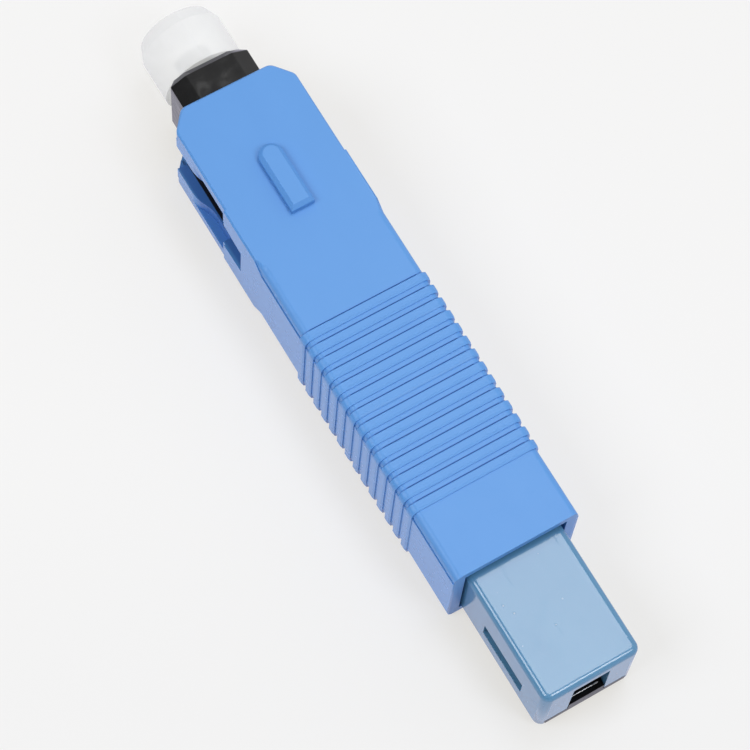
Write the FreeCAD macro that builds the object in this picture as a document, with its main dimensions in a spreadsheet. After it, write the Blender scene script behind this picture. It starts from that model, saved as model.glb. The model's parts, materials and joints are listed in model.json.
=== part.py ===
import FreeCAD, Part
import math
import os
import re

import Sketcher
from FreeCAD import Vector

# A field-fitted SC fibre connector: a push-pull coupling sleeve on a plug frame, a sprung ferrule with
# a mechanical fibre splice behind it, and a tail cover that snaps on over a flat drop-cable holder.
#
# Every sub-part is drawn about the optical axis (y = 0, z = 0), with x = 0 at the front face of the
# coupling sleeve and +X towards the cable. Its Placement then stands the whole connector on its ribs,
# with the origin under the middle of its length.

doc = FreeCAD.newDocument("fibre_connector")

# ---------------------------------------------------------------- driving dimensions, in millimetres
SIZES = (
    ("beyond", 1.0, "how far a cut runs past the face that it opens"),
    ("root", 0.1, "how deep a raised feature starts inside its wall"),
    # coupling sleeve
    ("sleeve_length", 36.6, "coupling sleeve, front face to rear face"),
    ("sleeve_side", 0.88, "side wall of the sleeve"),
    ("sleeve_top", 0.65, "top and bottom wall of the sleeve"),
    ("front_relief", 0.1, "how far each side lies back beside the windows"),
    ("wall_start", 7.85, "where the full side walls begin"),
    ("corner_back", 1.4, "front corner cut, along the axis"),
    ("corner_in", 1.15, "front corner cut, across"),
    ("corner_round", 0.7, "rounding of the front corner cuts"),
    ("front_edge", 0.12, "bevel of the long edges of the front section"),
    ("edge_radius", 0.5, "rounding of the long edges behind the step, as three flats"),
    ("edge_drop", 0.85, "height of the set back face below the sleeve's top and above its bottom"),
    ("edge_lead", 0.1, "that rounding at its front end"),
    ("edge_lead_drop", 0.15, "height of the set back face at its front end"),
    ("flat_near", 0.5, "sine of 30 degrees, the turn from one flat to the next"),
    ("flat_far", 0.866, "cosine of 30 degrees"),
    ("step_start", 11.9, "where the side step begins"),
    ("step_slant", 0.9, "length over which the rounding grows to its full size"),
    ("step_depth", 0.08, "how far the rounding is set back from the side"),
    ("rib_start", 17.82, "front of the first grip rib"),
    ("rib_pitch", 1.015, "grip rib to grip rib"),
    ("rib_count", 14, "number of grip ribs"),
    ("rib_width", 0.5, "width of a grip rib"),
    ("rib_relief", 0.12, "height of a grip rib"),
    ("rib_bevel", 0.05, "bevel of a rib's crest"),
    ("key_start", 5.2, "front of the polarity key"),
    ("key_length", 5.0, "length of the polarity key"),
    ("key_width", 1.7, "width of the polarity key"),
    ("key_height", 0.7, "height of the polarity key"),
    ("key_bevel", 0.28, "bevel of the key's top"),
    ("window_length", 7.6, "side window, open part"),
    ("window_height", 5.6, "side window, height of the open part"),
    ("slot_end", 10.1, "rear end of the side window's narrow part"),
    ("slot_height", 3.2, "height of the narrow part at its front"),
    ("slot_narrowing", 0.25, "how much the narrow part closes on each edge"),
    ("cam_height", 1.1, "height of the release cams"),
    ("cam_start", 3.4, "where the cam's curve leaves the outer face"),
    ("cam_length", 2.4, "length of the cam's curve"),
    ("cam_inset", 0.6, "how far the cam's curve leads inwards"),
    ("cam_clearance", 0.2, "release cam to the nose of the plug frame"),
    ("lug_start", 12.45, "front of the frame's travel lugs"),
    ("lug_length", 1.5, "length of a travel lug"),
    ("lug_width", 3.0, "width of a travel lug"),
    ("lug_height", 0.3, "height of a travel lug"),
    ("sleeve_travel", 2.0, "push-pull travel of the sleeve on the frame"),
    ("slide_gap", 0.05, "running gap of sliding faces"),
    # plug frame
    ("nose_reach", 2.72, "nose of the frame ahead of the sleeve"),
    ("nose_width", 5.8, "width of the nose"),
    ("frame_height", 6.0, "height of the frame"),
    ("nose_chamfer", 1.15, "chamfer of the nose's long edges, across"),
    ("nose_drop", 0.6, "that chamfer, in height"),
    ("nose_bevel", 0.5, "bevel round the front face"),
    ("shoulder_start", 10.4, "front of the frame's wide shoulders"),
    ("shoulder_length", 6.65, "length of the wide shoulders"),
    ("body_width", 7.3, "width of the shoulders"),
    ("shoulder_chamfer", 0.35, "chamfer of the shoulders' long edges"),
    ("recess_diameter", 4.7, "ring recess round the ferrule"),
    ("recess_depth", 4.02, "depth of the ring recess"),
    ("web_thickness", 1.6, "wall that guides the ferrule"),
    ("catch_start", 4.4, "front of the side catches"),
    ("catch_ramp", 1.2, "length of a catch's ramp"),
    ("catch_lead", 0.1, "step at the foot of a catch's ramp"),
    ("catch_length", 2.5, "length of a side catch"),
    ("catch_height", 2.2, "height of a side catch"),
    ("catch_reach", 0.75, "how far a catch stands out"),
    ("arm_length", 4.55, "snap arm of the rear housing"),
    ("arm_thickness", 0.48, "thickness of a snap arm"),
    ("arm_height", 2.3, "height of a snap arm"),
    ("hook_length", 1.0, "length of a snap hook"),
    ("hook_inset", 0.5, "snap hook behind the arm's front"),
    ("hook_ramp", 0.6, "length of a snap hook's ramp"),
    ("arm_root", 0.5, "how deep a snap arm starts inside the housing"),
    ("hook_depth", 0.3, "depth of a snap hook"),
    ("fit_gap", 0.05, "gap between fixed parts that sit in each other"),
    # ferrule and its spring
    ("ferrule_diameter", 2.5, "ferrule"),
    ("ferrule_length", 10.5, "ferrule"),
    ("ferrule_reach", 1.28, "ferrule tip ahead of the nose"),
    ("ferrule_chamfer", 0.45, "length of the ferrule's tip chamfer"),
    ("ferrule_nip", 0.35, "how much the tip chamfer takes off the radius"),
    ("ferrule_cone", 0.4, "radius of the lead-in at the ferrule's rear"),
    ("guide_gap", 0.08, "radial running gap of guided shafts"),
    ("flange_diameter", 4.4, "flange of the ferrule collar"),
    ("flange_thickness", 1.5, "flange of the ferrule collar"),
    ("flange_bevel", 0.3, "bevel of the flange's front edge"),
    ("notch_depth", 0.35, "depth of the flange's tuning notches"),
    ("flange_notch", 0.7, "width of the flange's tuning notches"),
    ("chamber_gap", 0.2, "flange to the frame's chamber"),
    ("hub_wall", 0.25, "wall of the collar's hub"),
    ("hub_length", 2.4, "hub of the collar"),
    ("bond_gap", 0.01, "glue line of bonded parts"),
    ("stem_wall", 0.25, "wall of the splice holder's stem"),
    ("stem_bore", 1.0, "fibre passage of the stem"),
    ("wire_diameter", 0.35, "float spring's wire"),
    ("spring_gap", 0.12, "float spring to the stem"),
    ("spring_turns", 4, "turns of the float spring"),
    ("ring_length", 6.05, "stop ring"),
    ("ring_diameter", 4.94, "stop ring"),
    ("ring_lead", 0.25, "lead-in of the stop ring"),
    ("waist_offset", 2.2, "front of the stop ring's waist behind its front"),
    ("waist_length", 1.2, "waist of the stop ring"),
    ("waist_depth", 0.15, "waist of the stop ring"),
    ("seat_gap", 0.03, "stop ring in the frame"),
    ("fibre_diameter", 0.125, "glass fibre"),
    # dust cap
    ("cap_length", 4.63, "dust cap ahead of the nose"),
    ("cap_diameter", 6.0, "dust cap"),
    ("cap_round", 1.4, "rounded end of the cap, as two flats"),
    ("cap_tube", 4.4, "outer diameter of the cap's tube"),
    ("cap_plunge", 3.2, "how deep the tube reaches into the nose"),
    ("cap_grip", 0.03, "cap bore to ferrule, on the radius"),
    ("cap_room", 0.6, "room in front of the ferrule tip"),
    # splice
    ("lid_width", 2.8, "splice base and lids"),
    ("lid_height", 0.93, "splice lids"),
    ("lid_bevel", 0.2, "bevel of a lid's edges"),
    ("base_height", 1.48, "splice base"),
    ("splice_length", 9.8, "splice base"),
    ("lid_gap", 0.05, "splice parts to each other"),
    ("holder_wall", 0.6, "wall of the splice holder"),
    ("holder_rise", 0.5, "splice holder's walls above the lids' underside"),
    ("holder_end", 0.2, "front wall of the splice holder"),
    ("fibre_seat", 0.0884, "half width and depth of the groove that seats the fibre"),
    ("coating_seat", 0.25, "half width and depth of the groove for the coated fibre"),
    ("splice_share", 0.3, "share of the splice where the middle lid starts"),
    ("coating_share", 0.7, "share of the splice where the coated fibre starts"),
    ("sheet", 0.2, "spring steel sheet of the splice clamp"),
    ("sheet_gap", 0.02, "clamp to the parts that it holds"),
    ("clamp_hook", 0.8, "how far the clamp hooks under"),
    ("slit_rest", 0.5, "how far from the left arm the clamp's slits end"),
    ("clamp_slit", 0.25, "slits between the clamp's fingers"),
    ("block_gap", 0.2, "splice block to its channel"),
    # rear housing and its lock slider
    ("end_wall", 1.25, "front wall of the rear housing"),
    ("channel_length", 11.6, "splice channel"),
    ("rear_wall", 1.7, "rear wall of the rear housing"),
    ("tongue_width", 6.0, "lock slider, across its tongues"),
    ("tongue_thickness", 0.42, "lock slider's plate"),
    ("slider_width", 4.4, "lock slider's thumb pad"),
    ("pad_slot", 4.6, "slot in the housing for the thumb pad"),
    ("slider_length", 9.0, "lock slider"),
    ("press_start", 1.5, "front of the slider's press rib behind the slider's front"),
    ("press_width", 1.6, "lock slider's press rib"),
    ("press_gap", 0.06, "press rib above the splice clamp"),
    ("slider_gap", 0.15, "lock slider behind the front of its track"),
    ("ridge_inset", 2.0, "first grip ridge behind the slider's front"),
    ("ridge_width", 0.5, "grip ridges of the lock slider"),
    ("ridge_height", 0.25, "grip ridges of the lock slider"),
    ("ridge_length", 3.6, "grip ridges of the lock slider"),
    ("ridge_count", 5, "grip ridges of the lock slider"),
    ("grip_pitch", 1.0, "grip ridges of the lock slider"),
    ("view_height", 1.6, "viewing windows of the rear housing"),
    ("view_inset", 2.0, "viewing windows inside the channel's ends"),
    ("funnel_diameter", 2.6, "fibre entry funnel"),
    ("funnel_mouth", 2.0, "mouth of the funnel"),
    ("funnel_bevel", 0.2, "lead-in of the funnel"),
    ("funnel_depth", 1.0, "depth of the funnel's cone"),
    ("funnel_bore", 0.4, "fibre bore of the funnel"),
    ("prong_length", 1.2, "prongs of the cable holder"),
    ("prong_width", 0.7, "prongs of the cable holder"),
    ("prong_height", 1.2, "prongs of the cable holder"),
    ("prong_level", 1.4, "prongs below the axis"),
    ("prong_spacing", 4.6, "prong to prong"),
    # tail
    ("tail_reach", 9.2, "tail behind the sleeve"),
    ("cover_height", 2.5, "top of the tail cover above the axis"),
    ("cover_wall", 0.5, "wall of the tail cover"),
    ("cover_round", 0.45, "rounding of the tail cover's top edges"),
    ("cover_corner", 0.6, "rounding of the tail cover's rear corners"),
    ("cover_gap", 0.25, "tail cover behind the holder's front"),
    ("cover_side_gap", 0.2, "tail cover to the sleeve's bore, each side"),
    ("tail_floor_gap", 0.1, "tail to the sleeve's bore, underneath"),
    ("cable_width", 2.0, "flat drop cable, short side"),
    ("cable_height", 3.0, "flat drop cable, long side"),
    ("cable_gap", 0.08, "drop cable to the grip channel"),
    ("grip_sheet", 0.18, "steel sheet of the grip channel"),
    ("grip_rest", 0.35, "grip channel to the cover's rear wall"),
    ("tooth_pitch", 1.2, "teeth of the grip channel"),
    ("tooth_depth", 0.2, "teeth of the grip channel"),
    ("grip_drop", 0.2, "grip channel below the top of the cable"),
    ("tooth_start", 1.0, "first tooth behind the channel's front"),
    ("tooth_inset", 0.3, "teeth inside the channel's floor and edges"),
    ("tooth_rake", 0.35, "length of a tooth's slope"),
    ("tooth_count", 8, "teeth on each side of the grip channel"),
    ("holder_plate", 0.55, "base plate of the cable holder"),
    ("holder_cheek", 0.55, "cheeks beside the grip channel"),
    ("cheek_drop", 0.1, "cheeks below the top of the cable"),
    ("holder_head", 1.2, "front wall of the cable holder"),
    ("latch_margin", 2.3, "snap slots to the tail's rear face"),
    ("latch_length", 4.45, "snap slots"),
    ("latch_height", 1.4, "snap slots"),
    ("latch_level", 0.4, "top of the snap slots below the axis"),
    ("latch_reach", 0.15, "how far the snap ribs stand out"),
    ("wing_margin", 0.2, "spring wings past the snap slots, each end"),
    ("wing_rise", 0.3, "spring wings above the snap slots"),
    ("wing_thickness", 0.55, "spring wings that carry the snap ribs"),
)

# ------------------------------------------------------------- sizes and places that follow from them
PLACES = (
    ("nose_front", "-nose_reach", "front face of the plug frame"),
    ("frame_end", "shoulder_start + shoulder_length", "rear face of the plug frame"),
    ("cavity_y", "body_width / 2 + slide_gap", "half width of the sleeve's bore"),
    ("cavity_z", "frame_height / 2 + slide_gap", "half height of the sleeve's bore"),
    ("sleeve_y", "cavity_y + sleeve_side", "half width of the sleeve"),
    ("sleeve_z", "cavity_z + sleeve_top", "half height of the sleeve"),
    ("front_y", "sleeve_y - front_relief", "half width of the sleeve beside the windows"),
    ("rib_y", "sleeve_y + rib_relief", "half width of a grip rib"),
    ("rib_z", "sleeve_z + rib_relief", "half height of a grip rib"),
    ("rib_round", "edge_radius + rib_relief", "rounding of a rib's corners"),
    ("axis_height", "rib_z", "optical axis above the floor"),
    ("cam_top", "window_height / 2 - cam_height", "inner face of the release cams"),
    ("lug_end", "lug_start + lug_length", "rear of the travel lugs"),
    ("ferrule_r", "ferrule_diameter / 2", "ferrule"),
    ("recess_r", "recess_diameter / 2", "ring recess"),
    ("web_front", "nose_front + recess_depth", "front of the guiding wall"),
    ("web_back", "web_front + web_thickness", "rear of the guiding wall"),
    ("collar_front", "web_back + fit_gap", "front of the ferrule collar"),
    ("flange_back", "collar_front + flange_thickness", "rear of the collar's flange"),
    ("flange_r", "flange_diameter / 2", "collar's flange"),
    ("chamber_r", "flange_r + chamber_gap", "spring chamber"),
    ("tip", "nose_front - ferrule_reach", "ferrule tip"),
    ("hub_r", "ferrule_r + bond_gap + hub_wall", "collar's hub"),
    ("hub_end", "flange_back + hub_length", "rear of the collar's hub"),
    ("stem_r", "hub_r + bond_gap + stem_wall", "splice holder's stem"),
    ("coil_r", "stem_r + spring_gap + wire_diameter / 2", "float spring's mean radius"),
    ("ring_r", "ring_diameter / 2", "stop ring"),
    ("seat_r", "ring_r + seat_gap", "seat of the stop ring"),
    ("ring_front", "frame_end - ring_length", "front of the stop ring"),
    ("waist_start", "ring_front + waist_offset", "front of the stop ring's waist"),
    ("arm_out", "body_width / 2 - fit_gap", "outer face of the snap arms"),
    ("arm_in", "arm_out - arm_thickness", "inner face of the snap arms"),
    ("arm_front", "frame_end - arm_length", "front of the snap arms"),
    ("hook_start", "arm_front + hook_inset", "front of the snap hooks"),
    ("channel_front", "frame_end + end_wall", "front of the splice channel"),
    ("channel_back", "channel_front + channel_length", "rear of the splice channel"),
    ("housing_end", "channel_back + rear_wall", "rear face of the rear housing"),
    ("housing_z", "frame_height / 2 - fit_gap", "half height of the rear housing"),
    ("lid_y", "lid_width / 2", "splice lids"),
    ("bed_y", "lid_y + lid_gap", "half width of the splice holder's bed"),
    ("block_y", "bed_y + holder_wall", "half width of the splice holder"),
    ("block_front", "channel_front + block_gap", "front of the splice block"),
    ("splice_front", "block_front + lid_gap + holder_end", "front of the splice base"),
    ("splice_end", "splice_front + splice_length", "rear of the splice base"),
    ("block_end", "splice_end + root", "rear of the splice block"),
    ("bed_bottom", "-(base_height + sheet_gap)", "bed of the splice holder"),
    ("block_bottom", "bed_bottom - holder_wall", "underside of the splice holder"),
    ("lid_bottom", "fibre_diameter / 2 + bond_gap", "underside of the lids"),
    ("lid_top", "lid_bottom + lid_height", "top of the lids"),
    ("clamp_y", "block_y + sheet_gap", "inner face of the clamp's arms"),
    ("clamp_roof", "lid_top + sheet_gap", "inner face of the clamp's back"),
    ("clamp_top", "clamp_roof + sheet", "top of the clamp"),
    ("clamp_bottom", "block_bottom - sheet_gap - sheet", "underside of the clamp"),
    ("channel_y", "clamp_y + sheet + block_gap", "half width of the splice channel"),
    ("channel_floor", "clamp_bottom - block_gap", "floor of the splice channel"),
    ("track_floor", "stem_r + block_gap", "underside of the slider's track"),
    ("tongue_y", "tongue_width / 2", "lock slider's tongues"),
    ("track_y", "tongue_y + slide_gap", "half width of the slider's track"),
    ("tongue_bottom", "track_floor + slide_gap", "underside of the lock slider"),
    ("tongue_top", "tongue_bottom + tongue_thickness", "top of the tongues"),
    ("track_roof", "tongue_top + slide_gap", "underside of the track's lips"),
    ("pad_top", "housing_z - ridge_height", "top of the slider's thumb pad"),
    ("slider_front", "channel_front + slider_gap", "front of the lock slider"),
    ("ridge_start", "slider_front + ridge_inset", "front of the first grip ridge"),
    ("funnel_r", "funnel_diameter / 2", "entry funnel"),
    ("holder_front", "housing_end + fit_gap", "front of the cable holder"),
    ("cover_front", "holder_front + cover_gap", "front of the tail cover"),
    ("tail_end", "sleeve_length + tail_reach", "rear face of the tail"),
    ("cover_y", "cavity_y - cover_side_gap", "half width of the tail cover"),
    ("cover_in", "cover_y - cover_wall", "inner half width of the tail cover"),
    ("tail_floor", "-(cavity_z - tail_floor_gap)", "underside of the tail"),
    ("plate_top", "tail_floor + holder_plate", "top of the holder's base plate"),
    ("plate_y", "cover_in - fit_gap", "half width of the base plate"),
    ("grip_in", "cable_width / 2 + cable_gap", "inner face of the grip channel"),
    ("grip_out", "grip_in + grip_sheet", "outer face of the grip channel"),
    ("grip_floor", "-cable_height / 2", "floor that the cable lies on"),
    ("bed_top", "grip_floor - grip_sheet - sheet_gap", "bed under the grip channel"),
    ("cheek_in", "grip_out + sheet_gap", "inner face of the holder's cheeks"),
    ("cheek_out", "cheek_in + holder_cheek", "outer face of the holder's cheeks"),
    ("inner_end", "tail_end - cover_wall", "inner face of the cover's rear wall"),
    ("grip_front", "holder_front + holder_head + fit_gap", "front of the grip channel"),
    ("grip_end", "inner_end - grip_rest", "rear of the grip channel"),
    ("cable_roof", "cable_height / 2", "top of the cable inlet"),
    ("latch_end", "tail_end - latch_margin", "rear end of the snap slots"),
    ("latch_start", "latch_end - latch_length", "front end of the snap slots"),
    ("wing_in", "plate_y - wing_thickness", "inner face of the spring wings"),
    ("cap_seat", "nose_front - cap_grip", "face of the cap against the nose"),
    ("cap_front", "cap_seat - cap_length", "front end of the dust cap"),
    ("middle_x", "(cap_front + tail_end) / 2", "middle of the whole length"),
)

ALIASES = {}


def fill_sheet(name, rows):
    """A spreadsheet with a note, a value and an alias in each row."""
    sheet = doc.addObject("Spreadsheet::Sheet", name)
    for row, (alias, value, note) in enumerate(rows, start=1):
        sheet.set(f"A{row}", note)
        sheet.set(f"B{row}", str(value) if name == "Sizes" else "=" + bind(value))
        sheet.setAlias(f"B{row}", alias)
        ALIASES[alias] = name
    doc.recompute()
    return sheet


def bind(text):
    """An expression in which every alias has its spreadsheet's name in front."""
    return re.sub(r"[a-z_]+", lambda word: f"{ALIASES[word[0]]}.{word[0]}", text)


def number(text):
    """What an expression comes to, in millimetres."""
    value = sizes.evalExpression(bind(text))
    return float(getattr(value, "Value", value))


sizes = fill_sheet("Sizes", SIZES)
places = fill_sheet("Places", PLACES)

# ------------------------------------------------------------------------------- drawing and shaping
PARTS = []


def new_part(label):
    """The body of one sub-part, placed so that the connector stands on its ribs."""
    part = doc.addObject("PartDesign::Body", label)
    part.Label = label
    part.setExpression("Placement.Base.x", bind("-middle_x"))
    part.setExpression("Placement.Base.z", bind("axis_height"))
    PARTS.append(part)
    return part


def plane_of(part, role):
    return next(item for item in part.Origin.OriginFeatures if item.Role == role)


def draw(part, plane, offset="0"):
    """An empty sketch on one of the body's own planes, moved along the plane's normal."""
    drawing = part.newObject("Sketcher::SketchObject", part.Label + "_sketch")
    drawing.AttachmentSupport = [(plane_of(part, plane), "")]
    drawing.MapMode = "FlatFace"
    drawing.setExpression("AttachmentOffset.Base.z", bind(offset))
    return drawing


def fix_point(drawing, element, end, across, up):
    """Dimension one point from the sketch's origin."""
    for kind, text in (("DistanceX", across), ("DistanceY", up)):
        where = drawing.addConstraint(Sketcher.Constraint(kind, -1, 1, element, end, number(text)))
        drawing.setExpression(f"Constraints[{where}]", bind(text))


def outline(drawing, *corners):
    """A closed outline through corners that are pairs of expressions."""
    spots = [Vector(number(across), number(up), 0) for across, up in corners]
    first = drawing.GeometryCount
    count = len(corners)
    for index, spot in enumerate(spots):
        drawing.addGeometry(Part.LineSegment(spot, spots[(index + 1) % count]), False)
    for index, (across, up) in enumerate(corners):
        following = first + (index + 1) % count
        drawing.addConstraint(Sketcher.Constraint("Coincident", first + index, 2, following, 1))
        fix_point(drawing, first + index, 1, across, up)
    return drawing


def rectangle(drawing, left, right, bottom, top):
    return outline(drawing, (left, bottom), (right, bottom), (right, top), (left, top))


def circle(drawing, radius, across="0", up="0"):
    ring = Part.Circle(Vector(number(across), number(up), 0), Vector(0, 0, 1), number(radius))
    index = drawing.addGeometry(ring, False)
    fix_point(drawing, index, 3, across, up)
    where = drawing.addConstraint(Sketcher.Constraint("Radius", index, number(radius)))
    drawing.setExpression(f"Constraints[{where}]", bind(radius))
    return drawing


def feature(part, kind, drawing, **values):
    """A sketch-based feature, with its lengths and angles bound to the spreadsheets."""
    made = part.newObject("PartDesign::" + kind, f"{part.Label}_{kind.lower()}")
    made.Profile = drawing
    for name, value in values.items():
        if isinstance(value, str) and name not in ("SideType", "Type"):
            made.setExpression(name, bind(value))
        else:
            setattr(made, name, value)
    drawing.Visibility = False
    return made


def pad(part, drawing, length, **values):
    return feature(part, "Pad", drawing, Length=length, **values)


def pocket(part, drawing, length, **values):
    return feature(part, "Pocket", drawing, Length=length, **values)


def spun(part, kind, drawing):
    """A revolution or a groove about the optical axis."""
    made = feature(part, kind, drawing)
    made.ReferenceAxis = (drawing, ["H_Axis"])
    made.Angle = 360
    return made


def mirrored(part, original, plane):
    made = part.newObject("PartDesign::Mirrored", part.Label + "_mirrored")
    made.Originals = [original]
    made.MirrorPlane = (plane_of(part, plane), [""])
    part.Tip = made
    return made


def row(part, original, axis, step, count):
    """Copies of a feature along an axis of the body."""
    made = part.newObject("PartDesign::LinearPattern", part.Label + "_row")
    made.Originals = [original]
    made.Direction = (plane_of(part, axis), [""])
    made.Mode = "Spacing"
    made.setExpression("Offset", bind(step))
    made.setExpression("Occurrences", bind(count))
    part.Tip = made
    return made


def dressed(part, kind, size, chosen):
    """A fillet or chamfer on the edges of the tip that a test picks out."""
    doc.recompute()
    base = part.Tip
    names = [f"Edge{place}" for place, edge in enumerate(base.Shape.Edges, start=1)
             if chosen([vertex.Point for vertex in edge.Vertexes])]
    made = part.newObject("PartDesign::" + kind, f"{part.Label}_{kind.lower()}")
    made.Base = (base, names)
    made.setExpression("Radius" if kind == "Fillet" else "Size", bind(size))
    return made


def near(value, target, slack=1e-3):
    return abs(value - target) < slack


def cam_outline(drawing, side):
    """A release cam in plan: straight inner edge, and an S between two tangent straights outside."""
    sign = "" if side > 0 else "-"
    start, length = number("cam_start"), number("cam_length")
    outer, drop = number("front_y"), number("cam_inset")
    inner = number("nose_width / 2 + cam_clearance")
    front, back, root = number("corner_back"), number("window_length"), number("root")
    radius = (length ** 2 + drop ** 2) / (4 * drop)
    middle = Vector(start + length / 2, side * (outer - drop / 2), 0)
    quarter = math.asin(length / 2 / radius) / 2
    first = Part.Arc(Vector(start, side * outer, 0),
                     Vector(start + radius * math.sin(quarter),
                            side * (outer - radius * (1 - math.cos(quarter))), 0), middle)
    second = Part.Arc(middle, Vector(start + length - radius * math.sin(quarter),
                                     side * (outer - drop + radius * (1 - math.cos(quarter))), 0),
                      Vector(start + length, side * (outer - drop), 0))
    corners = (Vector(start + length, side * (outer - drop), 0),
               Vector(back + root, side * (outer - drop), 0), Vector(back + root, side * inner, 0),
               Vector(front, side * inner, 0),
               Vector(front, side * outer, 0), Vector(start, side * outer, 0))
    edges = [drawing.addGeometry(first, False), drawing.addGeometry(second, False)]
    edges += [drawing.addGeometry(Part.LineSegment(*pair), False) for pair in zip(corners, corners[1:])]
    # an arc is stored counter-clockwise, so its drawn start is point 1 or 2 by the side it bends to
    heads = [1 if near_point(drawing, edge, 1, spot) else 2
             for edge, spot in zip(edges, (corners[-1], middle) + corners)]
    for place, edge in enumerate(edges):
        following = (place + 1) % len(edges)
        kind = "Coincident" if 1 < place < len(edges) - 1 else "Tangent"
        drawing.addConstraint(Sketcher.Constraint(kind, edge, 3 - heads[place],
                                                  edges[following], heads[following]))
    drawing.addConstraint(Sketcher.Constraint("Equal", edges[0], edges[1]))
    outer_face = f"{sign}(front_y)"
    inset_face = f"{sign}(front_y - cam_inset)"
    inner_face = f"{sign}(nose_width / 2 + cam_clearance)"
    fix_point(drawing, edges[0], heads[0], "cam_start", outer_face)
    fix_point(drawing, edges[2], 1, "cam_start + cam_length", inset_face)
    fix_point(drawing, edges[3], 1, "window_length + root", inset_face)
    fix_point(drawing, edges[4], 1, "window_length + root", inner_face)
    fix_point(drawing, edges[5], 1, "corner_back", inner_face)
    fix_point(drawing, edges[6], 1, "corner_back", outer_face)


def near_point(drawing, edge, end, spot):
    return drawing.getPoint(edge, end).distanceToPoint(spot) < 1e-6


def key_outline(drawing):
    """The key in plan: a half round nose, two straight sides and a square rear."""
    half, start, end = number("key_width / 2"), number("key_start"), number("key_start + key_length")
    nose = drawing.addGeometry(Part.Arc(Vector(start + half, half, 0), Vector(start, 0, 0),
                                        Vector(start + half, -half, 0)), False)
    head = 1 if near_point(drawing, nose, 1, Vector(start + half, half, 0)) else 2
    corners = (Vector(start + half, -half, 0), Vector(end, -half, 0), Vector(end, half, 0),
               Vector(start + half, half, 0))
    lines = [drawing.addGeometry(Part.LineSegment(*pair), False) for pair in zip(corners, corners[1:])]
    drawing.addConstraint(Sketcher.Constraint("Coincident", nose, 3 - head, lines[0], 1))
    drawing.addConstraint(Sketcher.Constraint("Coincident", lines[0], 2, lines[1], 1))
    drawing.addConstraint(Sketcher.Constraint("Coincident", lines[1], 2, lines[2], 1))
    drawing.addConstraint(Sketcher.Constraint("Coincident", lines[2], 2, nose, head))
    fix_point(drawing, nose, 3, "key_start + key_width / 2", "0")
    fix_point(drawing, lines[0], 1, "key_start + key_width / 2", "-key_width / 2")
    fix_point(drawing, lines[1], 1, "key_start + key_length", "-key_width / 2")
    fix_point(drawing, lines[2], 1, "key_start + key_length", "key_width / 2")


def soft_corners(half_width, half_height, radius):
    """The corners of a rectangle about the axis whose four corners are rounded, each as three flats."""
    turns = (("0", "1"), ("flat_near", "flat_far"), ("flat_far", "flat_near"), ("1", "0"))
    quarter = [(f"({half_width} - {radius} * (1 - {across}))", f"({half_height} - {radius} * (1 - {up}))")
               for across, up in turns]
    corners = []
    for side, level in (("", ""), ("", "-"), ("-", "-"), ("-", "")):
        points = quarter if side == level else quarter[::-1]
        corners += [(side + across, level + up) for across, up in points]
    return corners


def edge_cut(drawing, side, level, radius, drop):
    """What is cut away to round one long edge and set the face under it back, in section."""
    middle_y, middle_z = f"(sleeve_y - step_depth - {radius})", f"(sleeve_z - {radius})"
    spots = [(middle_y, "(sleeve_z)"),
             (f"({middle_y} + flat_near * {radius})", f"({middle_z} + flat_far * {radius})"),
             (f"({middle_y} + flat_far * {radius})", f"({middle_z} + flat_near * {radius})"),
             ("(sleeve_y - step_depth)", middle_z), ("(sleeve_y - step_depth)", f"(sleeve_z - {drop})"),
             ("(sleeve_y + beyond)", f"(sleeve_z - {drop})"),
             ("(sleeve_y + beyond)", "(sleeve_z + beyond)"), (middle_y, "(sleeve_z + beyond)")]
    return outline(drawing, *[(side + across, level + up) for across, up in spots])


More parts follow.
